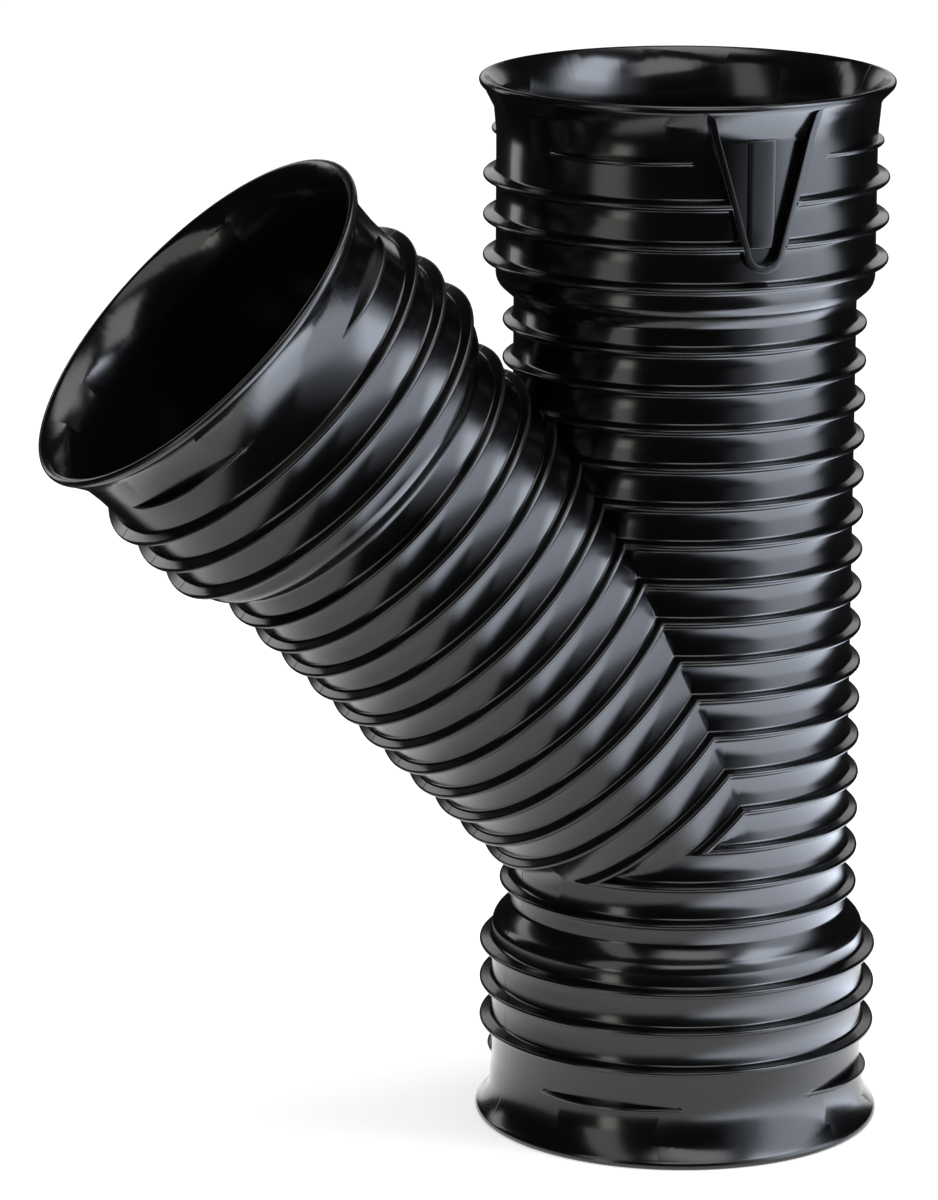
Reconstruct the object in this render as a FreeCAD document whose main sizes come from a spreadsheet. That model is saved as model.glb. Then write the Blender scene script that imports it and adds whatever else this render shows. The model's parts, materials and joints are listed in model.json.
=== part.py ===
import FreeCAD, Part
import math
import os
import Sketcher

# Lateral wye fitting for 160 mm sewer and drainage pipe: a straight run and a branch of the same bore
# that leaves it at 45 degrees, moulded in one piece. Each of the three ends is a socket with a flared mouth.
# The run stands on its lower mouth: origin at the middle of that mouth, +Z up the run, branch toward -X.
# Every leg is described from its own mouth: distances count along its axis, from the rim inward.

SIZES = {
    # Socket and wall
    "socket_bore_radius": 80.5,
    "leg_bore_radius": 72.5,
    "wall": 3.5,
    "socket_depth": 89.3,
    "shoulder_length": 7.0,
    # Run and branch
    "first_run_rib": 109.1,
    "leg_rib_pitch": 17.15,
    "run_rib_count": 16,
    "ribs_below_branch": 3,
    "branch_rib_count": 13,
    "branch_angle": 45.0,
    "branch_length": 325.4,
    # Ring ribs
    "leg_rib_height": 4.8,
    "socket_rib_height": 5.7,
    "rib_tip_width": 2.2,
    "rib_root_width": 3.2,
    "socket_rib_depth": 43.8,
    "socket_rib_pitch": 18.1,
    "socket_rib_count": 3,
    # Short arc ribs next to the rim
    "arc_rib_depth": 25.7,
    "arc_rib_height": 4.8,
    "arc_rib_offset": 34.5,
    # Mouth: a steep flare all round, and a longer, gentler one in each of the four quarters
    "rim_radius": 91.7,
    "rim_thickness": 3.0,
    "rim_chamfer": 1.0,
    "mouth_radius": 88.9,
    "steep_flare_depth": 9.2,
    "steep_flare_rise": 1.5,
    "long_flare_depth": 17.0,
    "long_flare_radius": 91.2,
    "long_flare_offset": 15.0,
    "long_flare_wall": 3.9,
    # Raised V on the upper socket, with a plain strip up its middle
    "vee_half_width": 27.3,
    "vee_top": 2.0,
    "vee_depth": 73.0,
    "vee_tip_radius": 9.5,
    "vee_rib_width": 3.0,
    "vee_rib_height": 5.3,
    "strip_width": 12.5,
    "strip_top": 16.0,
    "strip_bottom": 63.0,
    "strip_height": 1.4,
}

doc = FreeCAD.newDocument("lateral_wye")
sheet = doc.addObject("Spreadsheet::Sheet", "Sizes")
for row, (alias, size) in enumerate(SIZES.items(), start=1):
    sheet.set(f"A{row}", alias)
    sheet.set(f"B{row}", str(size))
    sheet.setAlias(f"B{row}", alias)
doc.recompute()

# Sizes that follow from the driving ones, as expressions on the sheet
SOCKET_WALL = "(Sizes.socket_bore_radius + Sizes.wall)"
LEG_WALL = "(Sizes.leg_bore_radius + Sizes.wall)"
SOCKET_DROP = "(Sizes.socket_bore_radius - Sizes.leg_bore_radius)"
# The outer shoulder stands the wall's thickness off the inner one, square to the slope
SHOULDER_SHIFT = f"(Sizes.wall * tan(atan({SOCKET_DROP} / Sizes.shoulder_length) / 2))"
OUTER_DEPTH = f"(Sizes.socket_depth + {SHOULDER_SHIFT})"
RUN_HEIGHT = "(2 * Sizes.first_run_rib + (Sizes.run_rib_count - 1) * Sizes.leg_rib_pitch)"
# The axes cross halfway between two ribs of the run, and the branch's ribs are spaced out from there too,
# so each rib of the branch meets one of the run where the legs join
BRANCH_HEIGHT = "(Sizes.first_run_rib + (Sizes.ribs_below_branch - 0.5) * Sizes.leg_rib_pitch)"
FIRST_BRANCH_RIB = "(Sizes.branch_length - (Sizes.branch_rib_count - 0.5) * Sizes.leg_rib_pitch)"
STEEP_BASE = f"({SOCKET_WALL} + Sizes.steep_flare_rise)"
STEEP_BORE = "(Sizes.socket_bore_radius + Sizes.steep_flare_rise)"
STEEP_BORE_DEPTH = f"(Sizes.mouth_radius - {STEEP_BORE})"
LONG_RISE = f"(Sizes.long_flare_radius - {SOCKET_WALL})"
LONG_SLOPE = f"({LONG_RISE} / (Sizes.long_flare_depth - Sizes.rim_thickness))"
LONG_REACH = "(Sizes.long_flare_depth + Sizes.wall)"


def value(expression):
    """The number that an expression on the sheet has now."""
    found = doc.getObject("Sizes").evalExpression(expression.replace("Sizes.", ""))
    return float(found.Value) if hasattr(found, "Value") else float(found)


def from_other_end(distance):
    """The same distance measured from the run's upper rim, as a height."""
    return f"({RUN_HEIGHT} - {distance})"


def origin_item(body, role):
    """One of a body's own origin planes or axes."""
    return next(item for item in body.Origin.OriginFeatures if item.Role == role)


def new_body(name):
    return doc.addObject("PartDesign::Body", name)


def new_sketch(body, name):
    """A sketch on the body's upright XZ plane: across is +X, up is +Z, and its normal is -Y."""
    sketch = body.newObject("Sketcher::SketchObject", name)
    sketch.AttachmentSupport = (origin_item(body, "XZ_Plane"), "")
    sketch.MapMode = "FlatFace"
    return sketch


def hold(sketch, element, end, across, up):
    """Ties one point of a sketch to its distances from the sketch's origin."""
    for kind, axis, expression in (("DistanceX", -2, across), ("DistanceY", -1, up)):
        if expression == "0":
            sketch.addConstraint(Sketcher.Constraint("PointOnObject", element, end, axis))
        else:
            number = sketch.addConstraint(
                Sketcher.Constraint(kind, -1, 1, element, end, value(expression))
            )
            sketch.setExpression(f"Constraints[{number}]", expression)


def add_outline(body, name, corners):
    """A closed outline of straight lines through corners that the sheet drives."""
    sketch = new_sketch(body, name)
    points = [FreeCAD.Vector(value(across), value(up), 0) for across, up in corners]
    for here, there in zip(points, points[1:] + points[:1]):
        sketch.addGeometry(Part.LineSegment(here, there), False)
    for line in range(len(points)):
        sketch.addConstraint(
            Sketcher.Constraint("Coincident", line, 2, (line + 1) % len(points), 1)
        )
    for line, (across, up) in enumerate(corners):
        hold(sketch, line, 1, across, up)
    return sketch


def add_turned(body, name, corners):
    """A ring or solid turned about the body's Z axis from an outline."""
    sketch = add_outline(body, f"{name}_outline", corners)
    turned = body.newObject("PartDesign::Revolution", name)
    turned.Profile = sketch
    turned.ReferenceAxis = (sketch, ["V_Axis"])
    turned.Angle = 360
    return turned


def add_ribs(body, name, wall_radius, height, first, pitch, count):
    """Thin ring ribs, tapered to their tips, repeated along the leg."""
    root = f"({wall_radius} - Sizes.wall / 2)"
    tip = f"({wall_radius} + {height})"
    rib = add_turned(
        body,
        f"{name}_first",
        [
            (root, f"{first} - Sizes.rib_root_width / 2"),
            (tip, f"{first} - Sizes.rib_tip_width / 2"),
            (tip, f"{first} + Sizes.rib_tip_width / 2"),
            (root, f"{first} + Sizes.rib_root_width / 2"),
        ],
    )
    row = body.newObject("PartDesign::LinearPattern", name)
    row.Originals = [rib]
    row.Direction = (origin_item(body, "Z_Axis"), [""])
    row.setExpression("Length", f"({count} - 1) * {pitch}")
    row.setExpression("Occurrences", count)
    body.Tip = row
    return row


def place(item, mouth):
    """Sets an item down in a mouth's own frame: its Z runs from the rim inward along the leg."""
    across, up, turn = mouth
    item.setExpression(".Placement.Base.x", across)
    item.setExpression(".Placement.Base.z", up)
    item.Placement.Rotation = FreeCAD.Rotation(FreeCAD.Vector(0, 1, 0), value(turn))
    item.setExpression(".Placement.Rotation.Angle", turn)


# Mouths: across, up and the turn about Y that points a leg's Z inward
FOOT = ("0", "0", "0")
HEAD = ("0", RUN_HEIGHT, "180")
BRANCH = (
    "-Sizes.branch_length * sin(Sizes.branch_angle)",
    f"{BRANCH_HEIGHT} + Sizes.branch_length * cos(Sizes.branch_angle)",
    "180 - Sizes.branch_angle",
)


# Corners of a socket's outside, from the rim down to the leg's wall
SOCKET_OUTLINE = [
    ("Sizes.rim_radius - Sizes.rim_chamfer", "0"),
    ("Sizes.rim_radius", "Sizes.rim_chamfer"),
    ("Sizes.rim_radius", "Sizes.rim_thickness"),
    (STEEP_BASE, "Sizes.steep_flare_depth"),
    (SOCKET_WALL, "Sizes.arc_rib_depth"),
    (SOCKET_WALL, OUTER_DEPTH),
    (LEG_WALL, f"({OUTER_DEPTH} + Sizes.shoulder_length)"),
]

# Corners of a socket's inside: lead-in, pipe bore and the shoulder that stops the pipe
BORE_OUTLINE = [
    ("Sizes.mouth_radius", "0"),
    (STEEP_BORE, STEEP_BORE_DEPTH),
    ("Sizes.socket_bore_radius", "Sizes.arc_rib_depth"),
    ("Sizes.socket_bore_radius", "Sizes.socket_depth"),
    ("Sizes.leg_bore_radius", "(Sizes.socket_depth + Sizes.shoulder_length)"),
]


def mirrored(corners):
    """The same corners seen from the run's upper rim, in running order."""
    return [(across, from_other_end(up)) for across, up in reversed(corners)]


# Outside of the run: a turned tube with a socket at each end, then its ring ribs
run_form = new_body("run_form")
add_turned(
    run_form,
    "run_tube",
    [("0", "0")] + SOCKET_OUTLINE + mirrored(SOCKET_OUTLINE) + [("0", RUN_HEIGHT)],
)
add_ribs(
    run_form, "run_ribs", LEG_WALL, "Sizes.leg_rib_height",
    "Sizes.first_run_rib", "Sizes.leg_rib_pitch", "Sizes.run_rib_count",
)
add_ribs(
    run_form, "foot_socket_ribs", SOCKET_WALL, "Sizes.socket_rib_height",
    "Sizes.socket_rib_depth", "Sizes.socket_rib_pitch", "Sizes.socket_rib_count",
)
HEAD_RIBS_START = from_other_end(
    "(Sizes.socket_rib_depth + (Sizes.socket_rib_count - 1) * Sizes.socket_rib_pitch)"
)
add_ribs(
    run_form, "head_socket_ribs", SOCKET_WALL, "Sizes.socket_rib_height",
    HEAD_RIBS_START, "Sizes.socket_rib_pitch", "Sizes.socket_rib_count",
)

# Outside of the branch: the same leg with one socket, ending on the run's axis
branch_form = new_body("branch_form")
add_turned(
    branch_form,
    "branch_tube",
    [("0", "0")] + SOCKET_OUTLINE + [(LEG_WALL, "Sizes.branch_length"), ("0", "Sizes.branch_length")],
)
add_ribs(
    branch_form, "branch_ribs", LEG_WALL, "Sizes.leg_rib_height",
    FIRST_BRANCH_RIB, "Sizes.leg_rib_pitch", "Sizes.branch_rib_count",
)
add_ribs(
    branch_form, "branch_socket_ribs", SOCKET_WALL, "Sizes.socket_rib_height",
    "Sizes.socket_rib_depth", "Sizes.socket_rib_pitch", "Sizes.socket_rib_count",
)
place(branch_form, BRANCH)


def add_flare_cone(body, name, reach_at_rim, start):
    """A cone beside the leg's axis, toward one quarter, that narrows from near the rim inward."""
    cone = body.newObject("PartDesign::AdditiveCone", name)
    cone.AttachmentSupport = (origin_item(body, "XY_Plane"), "")
    cone.MapMode = "FlatFace"
    cone.setExpression(".AttachmentOffset.Base.x", "Sizes.long_flare_offset")
    cone.setExpression(".AttachmentOffset.Base.z", start)
    near = f"({reach_at_rim} - Sizes.long_flare_offset)"
    cone.setExpression("Radius1", f"{near} - {LONG_SLOPE} * {start}")
    cone.setExpression("Radius2", f"{near} - {LONG_SLOPE} * {LONG_REACH}")
    cone.setExpression("Height", f"{LONG_REACH} - {start}")
    return cone


def add_round_pattern(body, name, feature):
    """Four copies of a feature, a quarter turn apart round the leg's axis."""
    ring = body.newObject("PartDesign::PolarPattern", name)
    ring.Originals = [feature]
    ring.Axis = (origin_item(body, "Z_Axis"), [""])
    ring.Angle = 360
    ring.Occurrences = 4
    body.Tip = ring
    return ring


def add_arc_rib(body, name):
    """A thin disc set off toward a diagonal: what stands out of the wall is a rib with tapered ends."""
    disc = body.newObject("PartDesign::AdditiveCylinder", name)
    disc.AttachmentSupport = (origin_item(body, "XY_Plane"), "")
    disc.MapMode = "FlatFace"
    disc.setExpression(".AttachmentOffset.Base.x", "Sizes.arc_rib_offset * cos(45)")
    disc.setExpression(".AttachmentOffset.Base.y", "Sizes.arc_rib_offset * sin(45)")
    disc.setExpression(
        ".AttachmentOffset.Base.z", "Sizes.arc_rib_depth - Sizes.rib_tip_width / 2"
    )
    disc.setExpression("Radius", f"{SOCKET_WALL} + Sizes.arc_rib_height - Sizes.arc_rib_offset")
    disc.setExpression("Height", "Sizes.rib_tip_width")
    return disc


OUTER_AT_RIM = f"({SOCKET_WALL} + {LONG_SLOPE} * Sizes.long_flare_depth)"
INNER_AT_RIM = f"({OUTER_AT_RIM} - Sizes.long_flare_wall)"

# What every mouth adds to the turned form, and the long lead-ins that it takes away
mouth_forms = []
mouth_voids = []
for name, mouth in (("foot", FOOT), ("head", HEAD), ("branch", BRANCH)):
    flares = new_body(f"{name}_mouth_form")
    cone = add_flare_cone(flares, f"{name}_flare", OUTER_AT_RIM, "Sizes.rim_thickness")
    add_round_pattern(flares, f"{name}_flares", cone)
    disc = add_arc_rib(flares, f"{name}_arc_rib")
    add_round_pattern(flares, f"{name}_arc_ribs", disc)
    place(flares, mouth)
    mouth_forms.append(flares)
    lead_ins = new_body(f"{name}_mouth_void")
    cone = add_flare_cone(lead_ins, f"{name}_lead_in", INNER_AT_RIM, "0")
    add_round_pattern(lead_ins, f"{name}_lead_ins", cone)
    place(lead_ins, mouth)
    mouth_voids.append(lead_ins)


def add_vee_sketch(body, name, as_band):
    """The V's outline: straight legs that run tangent into a round tip, as a solid or as a band."""
    sketch = new_sketch(body, name)
    half_width = value("Sizes.vee_half_width")
    top = value("Sizes.vee_top")
    tip_radius = value("Sizes.vee_tip_radius")
    center = FreeCAD.Vector(0, value("Sizes.vee_depth") - tip_radius, 0)
    lean = math.atan2(half_width, center.y - top)
    lean -= math.asin(tip_radius / math.hypot(half_width, center.y - top))
    inset = value("Sizes.vee_rib_width")
    loops = [(half_width, tip_radius)]
    if as_band:
        loops.append((half_width - inset / math.cos(lean), tip_radius - inset))
    for width, radius in loops:
        right = FreeCAD.Vector(radius * math.cos(lean), center.y + radius * math.sin(lean), 0)
        left = FreeCAD.Vector(-right.x, right.y, 0)
        sketch.addGeometry(Part.LineSegment(FreeCAD.Vector(width, top, 0), right), False)
        circle = Part.Circle(center, FreeCAD.Vector(0, 0, 1), radius)
        sketch.addGeometry(Part.ArcOfCircle(circle, lean, math.pi - lean), False)
        sketch.addGeometry(Part.LineSegment(left, FreeCAD.Vector(-width, top, 0)), False)
        first = sketch.GeometryCount - 3
        sketch.addConstraint(Sketcher.Constraint("Tangent", first, 2, first + 1, 1))
        sketch.addConstraint(Sketcher.Constraint("Tangent", first + 1, 2, first + 2, 1))
        sketch.addConstraint(Sketcher.Constraint("Symmetric", first, 1, first + 2, 2, -2))
    hold(sketch, 0, 1, "Sizes.vee_half_width", "Sizes.vee_top")
    hold(sketch, 1, 3, "0", "Sizes.vee_depth - Sizes.vee_tip_radius")
    number = sketch.addConstraint(Sketcher.Constraint("Radius", 1, tip_radius))
    sketch.setExpression(f"Constraints[{number}]", "Sizes.vee_tip_radius")
    if as_band:
        sketch.addConstraint(Sketcher.Constraint("Coincident", 1, 3, 4, 3))
        number = sketch.addConstraint(Sketcher.Constraint("Radius", 4, tip_radius - inset))
        sketch.setExpression(
            f"Constraints[{number}]", "Sizes.vee_tip_radius - Sizes.vee_rib_width"
        )
        sketch.addConstraint(Sketcher.Constraint("Parallel", 0, 3))
        for outer, outer_end, inner, inner_end in ((0, 1, 3, 1), (2, 2, 5, 2)):
            start = sketch.getPoint(outer, outer_end)
            stop = sketch.getPoint(inner, inner_end)
            line = sketch.addGeometry(Part.LineSegment(start, stop), False)
            sketch.addConstraint(Sketcher.Constraint("Coincident", line, 1, outer, outer_end))
            sketch.addConstraint(Sketcher.Constraint("Coincident", line, 2, inner, inner_end))
        sketch.addConstraint(Sketcher.Constraint("Horizontal", 6))
    else:
        line = sketch.addGeometry(
            Part.LineSegment(sketch.getPoint(2, 2), sketch.getPoint(0, 1)), False
        )
        sketch.addConstraint(Sketcher.Constraint("Coincident", line, 1, 2, 2))
        sketch.addConstraint(Sketcher.Constraint("Coincident", line, 2, 0, 1))
    return sketch


def add_pad(body, name, sketch, length):
    """A straight solid from the leg's axis out toward -Y."""
    pad = body.newObject("PartDesign::Pad", name)
    pad.Profile = sketch
    pad.setExpression("Length", length)
    return pad


def add_hollow(body, name, radius, height):
    """Clears a round space about the leg's axis, from the rim inward."""
    hollow = body.newObject("PartDesign::SubtractiveCylinder", name)
    hollow.AttachmentSupport = (origin_item(body, "XY_Plane"), "")
    hollow.MapMode = "FlatFace"
    hollow.setExpression("Radius", radius)
    hollow.setExpression("Height", height)
    return hollow


def within_radius(name, item, radius, mouth):
    """The share of an item that lies inside a round limit about the leg's axis."""
    limit = doc.addObject("Part::Cylinder", f"{name}_limit")
    limit.setExpression("Radius", radius)
    limit.setExpression("Height", "Sizes.vee_depth")
    place(limit, mouth)
    common = doc.addObject("Part::Common", name)
    common.Base = item
    common.Tool = limit
    return common


# Inside the V the wall is bare: its ring ribs end at the V's legs, and the flared mouth stays
vee_clearing = new_body("vee_clearing")
vee_block_outline = add_vee_sketch(vee_clearing, "vee_block_outline", False)
add_pad(vee_clearing, "vee_block", vee_block_outline, "Sizes.rim_radius")
add_hollow(vee_clearing, "wall_kept", SOCKET_WALL, "Sizes.vee_depth")
add_hollow(vee_clearing, "flare_kept", "Sizes.rim_radius + Sizes.wall", "Sizes.long_flare_depth")
place(vee_clearing, HEAD)

vee_band = new_body("vee_band")
vee_band_outline = add_vee_sketch(vee_band, "vee_band_outline", True)
add_pad(vee_band, "vee_band_pad", vee_band_outline, "Sizes.rim_radius")
place(vee_band, HEAD)
vee_rib = within_radius("vee_rib", vee_band, f"{SOCKET_WALL} + Sizes.vee_rib_height", HEAD)

# The strip inside the V is a low plate with parallel sides, bare
strip_block = new_body("strip_block")
STRIP_SIDE = "Sizes.strip_width / 2"
strip_outline = new_sketch(strip_block, "strip_outline")
side, top, bottom = (value(e) for e in (STRIP_SIDE, "Sizes.strip_top", "Sizes.strip_bottom"))
strip_corners = [
    FreeCAD.Vector(-side, top, 0),
    FreeCAD.Vector(side, top, 0),
    FreeCAD.Vector(side, bottom, 0),
    FreeCAD.Vector(-side, bottom, 0),
]
for here, there in zip(strip_corners, strip_corners[1:] + strip_corners[:1]):
    strip_outline.addGeometry(Part.LineSegment(here, there), False)
for line in range(4):
    strip_outline.addConstraint(Sketcher.Constraint("Coincident", line, 2, (line + 1) % 4, 1))
strip_outline.addConstraint(Sketcher.Constraint("Horizontal", 2))
strip_outline.addConstraint(Sketcher.Constraint("Symmetric", 0, 1, 0, 2, -2))
strip_outline.addConstraint(Sketcher.Constraint("Vertical", 1))
strip_outline.addConstraint(Sketcher.Constraint("Vertical", 3))
hold(strip_outline, 1, 1, STRIP_SIDE, "Sizes.strip_top")
number = strip_outline.addConstraint(Sketcher.Constraint("DistanceY", -1, 1, 1, 2, bottom))
strip_outline.setExpression(f"Constraints[{number}]", "Sizes.strip_bottom")
add_pad(strip_block, "strip_pad", strip_outline, "Sizes.rim_radius")
place(strip_block, HEAD)
strip = within_radius("strip", strip_block, f"{SOCKET_WALL} + Sizes.strip_height", HEAD)

# Waterways: the run's bore with a socket at each end, and the branch's bore that opens into it
run_void = new_body("run_void")
add_turned(
    run_void, "run_bore", [("0", "0")] + BORE_OUTLINE + mirrored(BORE_OUTLINE) + [("0", RUN_HEIGHT)]
)
branch_void = new_body("branch_void")
add_turned(
    branch_void,
    "branch_bore",
    [("0", "0")] + BORE_OUTLINE
    + [("Sizes.leg_bore_radius", "Sizes.branch_length"), ("0", "Sizes.branch_length")],
)
place(branch_void, BRANCH)

# The legs are mitred: the branch keeps to its own side of the two planes that halve its angles with the
# run, so the equal tubes meet along one clean saddle and the ring ribs of both end there
branch_side = doc.addObject("Part::Box", "branch_side")
SIDE_LENGTH = "(1.2 * Sizes.branch_length)"
SIDE_WIDTH = "(Sizes.rim_radius + Sizes.wall)"
branch_side.setExpression("Length", SIDE_LENGTH)
branch_side.setExpression("Width", f"2 * {SIDE_WIDTH}")
branch_side.setExpression("Height", SIDE_LENGTH)
branch_side.setExpression(".Placement.Base.x", f"-{SIDE_LENGTH} * cos(Sizes.branch_angle / 2)")
branch_side.setExpression(".Placement.Base.y", f"-{SIDE_WIDTH}")
branch_side.setExpression(
    ".Placement.Base.z", f"{BRANCH_HEIGHT} - {SIDE_LENGTH} * sin(Sizes.branch_angle / 2)"
)
branch_side.Placement.Rotation = FreeCAD.Rotation(
    FreeCAD.Vector(0, -1, 0), value("Sizes.branch_angle / 2")
)
branch_side.setExpression(".Placement.Rotation.Angle", "Sizes.branch_angle / 2")


def join(name, items):
    fused = doc.addObject("Part::MultiFuse", name)
    fused.Shapes = items
    fused.Refine = True
    return fused


def cut(name, base, tool):
    remainder = doc.addObject("Part::Cut", name)
    remainder.Base = base
    remainder.Tool = tool
    remainder.Refine = True
    return remainder


foot_form, head_form, branch_mouth = mouth_forms
foot_void, head_void, branch_mouth_void = mouth_voids

run_outside = join("run_outside", [run_form, foot_form, head_form])
cleared_outside = cut("cleared_outside", run_outside, vee_clearing)
marked_outside = join("marked_outside", [cleared_outside, vee_rib, strip])
run_waterway = join("run_waterway", [run_void, foot_void, head_void])
whole_run = cut("whole_run", marked_outside, run_waterway)
mitred_run = cut("mitred_run", whole_run, branch_side)

branch_outside = join("branch_outside", [branch_form, branch_mouth])
branch_waterway = join("branch_waterway", [branch_void, branch_mouth_void])
whole_branch = cut("whole_branch", branch_outside, branch_waterway)
mitred_branch = doc.addObject("Part::Common", "mitred_branch")
mitred_branch.Base = whole_branch
mitred_branch.Tool = branch_side

wye_body = join("wye_body", [mitred_run, mitred_branch])
doc.recompute()

# Nothing may have failed on the way, and the fitting is one sound solid
for item in doc.Objects:
    if {"Invalid", "Error"} & set(item.State):
        raise RuntimeError(f"{item.Name} failed: {item.State}")
for item in (whole_run, mitred_run, whole_branch, mitred_branch, wye_body):
    if item.Shape.isNull() or not item.Shape.isValid():
        raise RuntimeError(f"{item.Label} has no valid shape")
if len(wye_body.Shape.Solids) != 1:
    raise RuntimeError(f"wye_body has {len(wye_body.Shape.Solids)} solids instead of one")
box = wye_body.Shape.BoundBox
print(f"wye_body: {wye_body.Shape.Volume / 1e6:.4f} litres of solid, {len(wye_body.Shape.Faces)} faces")
print(f"box x {box.XMin:.1f} {box.XMax:.1f} y {box.YMin:.1f} {box.YMax:.1f} z {box.ZMin:.1f} {box.ZMax:.1f}")

os.makedirs("parts", exist_ok=True)
wye_body.Shape.exportStep("parts/wye_body.step")
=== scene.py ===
# %% [markdown]
# # A lateral wye fitting in glossy black plastic
#
# The real fitting is one moulding: a straight run of drainage pipe with a socket at each end, and a branch of
# the same bore that leaves it at 45 degrees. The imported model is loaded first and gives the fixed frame.
# Its one solid is exact, but its edges are sharp, and it is the rounded edges that catch the light on
# black plastic. So the same form is modelled here again with soft edges, and stands in for that solid.

# %% Load the frame
import json
import math
from collections import Counter

import bpy
from mathutils import Matrix, Vector


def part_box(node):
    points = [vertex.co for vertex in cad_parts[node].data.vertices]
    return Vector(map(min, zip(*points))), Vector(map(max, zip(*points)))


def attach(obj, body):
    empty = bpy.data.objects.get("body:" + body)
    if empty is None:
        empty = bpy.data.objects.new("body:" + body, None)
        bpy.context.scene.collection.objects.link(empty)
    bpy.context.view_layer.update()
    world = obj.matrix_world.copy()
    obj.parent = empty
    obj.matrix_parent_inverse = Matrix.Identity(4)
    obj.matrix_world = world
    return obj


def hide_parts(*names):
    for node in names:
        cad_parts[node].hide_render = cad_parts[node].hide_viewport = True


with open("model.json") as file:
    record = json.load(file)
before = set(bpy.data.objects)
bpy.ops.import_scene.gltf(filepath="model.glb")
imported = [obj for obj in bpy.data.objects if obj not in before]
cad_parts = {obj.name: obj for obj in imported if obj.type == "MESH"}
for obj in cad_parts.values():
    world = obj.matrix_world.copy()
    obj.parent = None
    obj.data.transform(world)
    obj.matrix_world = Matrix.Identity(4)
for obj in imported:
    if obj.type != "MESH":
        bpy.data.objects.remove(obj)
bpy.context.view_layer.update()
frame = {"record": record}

MM = 0.001
wye_low, wye_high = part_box("wye_body")

# %% [markdown]
# ## The sizes
#
# All three mouths are alike, so a leg is always described from its own rim: a depth counts along the leg's
# axis from the rim inward. The frame gives the height, the rim and the pipe bore; the other sizes are the
# same ones that drive the solid.

# %% Sizes that the frame gives
RUN_HEIGHT = wye_high.z
RIM_RADIUS = wye_high.x
sockets = [m for m in frame["record"]["mounts"] if m["kind"] == "bore"]
SOCKET_BORE = sockets[0]["dims"]["r_mm"] * MM
print("height", round(RUN_HEIGHT, 4), "rim radius", round(RIM_RADIUS, 4), "socket bore", SOCKET_BORE)

# %% Wall, socket and shoulder
WALL = 3.5 * MM
LEG_BORE = 72.5 * MM
SOCKET_WALL = SOCKET_BORE + WALL
LEG_WALL = LEG_BORE + WALL
SOCKET_DEPTH = 89.3 * MM
SHOULDER_LENGTH = 7.0 * MM
SHOULDER_SLOPE = math.atan2(SOCKET_BORE - LEG_BORE, SHOULDER_LENGTH)
OUTER_DEPTH = SOCKET_DEPTH + WALL * math.tan(SHOULDER_SLOPE / 2)
SEAM_DEPTH = 100.0 * MM

# %% Ring ribs
FIRST_RUN_RIB = 109.1 * MM
LEG_RIB_PITCH = 17.15 * MM
RUN_RIBS = 16
RIBS_BELOW_BRANCH = 3
BRANCH_RIBS = 13
LEG_RIB_HEIGHT = 4.8 * MM
SOCKET_RIB_HEIGHT = 5.7 * MM
SOCKET_RIB_DEPTHS = [43.8 * MM, 61.9 * MM, 80.0 * MM]
RIB_TIP = 2.2 * MM
RIB_FOOT = 3.7 * MM
RIB_ROUNDING = 1.05 * MM
RIB_FILLET = 1.3 * MM

# %% Branch, whose axis crosses the run's halfway between two ribs
BRANCH_ANGLE = math.radians(45)
BRANCH_LENGTH = 325.4 * MM
BRANCH_HEIGHT = FIRST_RUN_RIB + (RIBS_BELOW_BRANCH - 0.5) * LEG_RIB_PITCH
FIRST_BRANCH_RIB = BRANCH_LENGTH - (BRANCH_RIBS - 0.5) * LEG_RIB_PITCH
print("crossing at height", round(BRANCH_HEIGHT, 4), "first branch rib at", round(FIRST_BRANCH_RIB, 4))

# %% Mouth
RIM_THICKNESS = 3.0 * MM
MOUTH_RADIUS = 88.9 * MM
STEEP_DEPTH = 9.2 * MM
STEEP_RISE = 1.5 * MM
ARC_RIB_DEPTH = 25.7 * MM
ARC_RIB_HEIGHT = 4.8 * MM
ARC_RIB_OFFSET = 34.5 * MM
LONG_FLARE_DEPTH = 17.0 * MM
LONG_FLARE_RADIUS = 91.2 * MM
LONG_FLARE_OFFSET = 15.0 * MM
LONG_FLARE_WALL = 3.9 * MM

# %% Raised V
VEE_HALF_WIDTH = 27.3 * MM
VEE_TURN = math.radians(1.2)
VEE_TOP = 2.0 * MM
VEE_DEPTH = 73.0 * MM
VEE_TIP_RADIUS = 9.5 * MM
VEE_RIB_WIDTH = 3.0 * MM
VEE_RIB_HEIGHT = 5.3 * MM
VEE_FLARE_END = 14.0 * MM
VEE_ROUNDING = 1.3 * MM
VEE_BLOCK_MARGIN = 0.3 * MM
VEE_BELOW_LIP = 0.4 * MM
STRIP_WIDTH = 12.5 * MM
STRIP_TOP = 16.0 * MM
STRIP_BOTTOM = 63.0 * MM
STRIP_HEIGHT = 1.4 * MM
STRIP_ROUNDING = 0.6 * MM

# %% [markdown]
# ## Helpers
#
# Each round piece starts as a line: half of its cross-section, drawn point by point in edit mode, as one
# would click it. Sharp corners of the line are then rounded with a vertex bevel, and the line is spun
# about Z. An operator acts on all that is selected, so everything is deselected before a new piece.

# %% Round steps and soft corners
STEPS = 128
WELD = 0.002 * MM


def deselect_all():
    bpy.ops.object.select_all(action="DESELECT")


def make_active(piece):
    deselect_all()
    piece.select_set(True)
    bpy.context.view_layer.objects.active = piece


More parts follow.
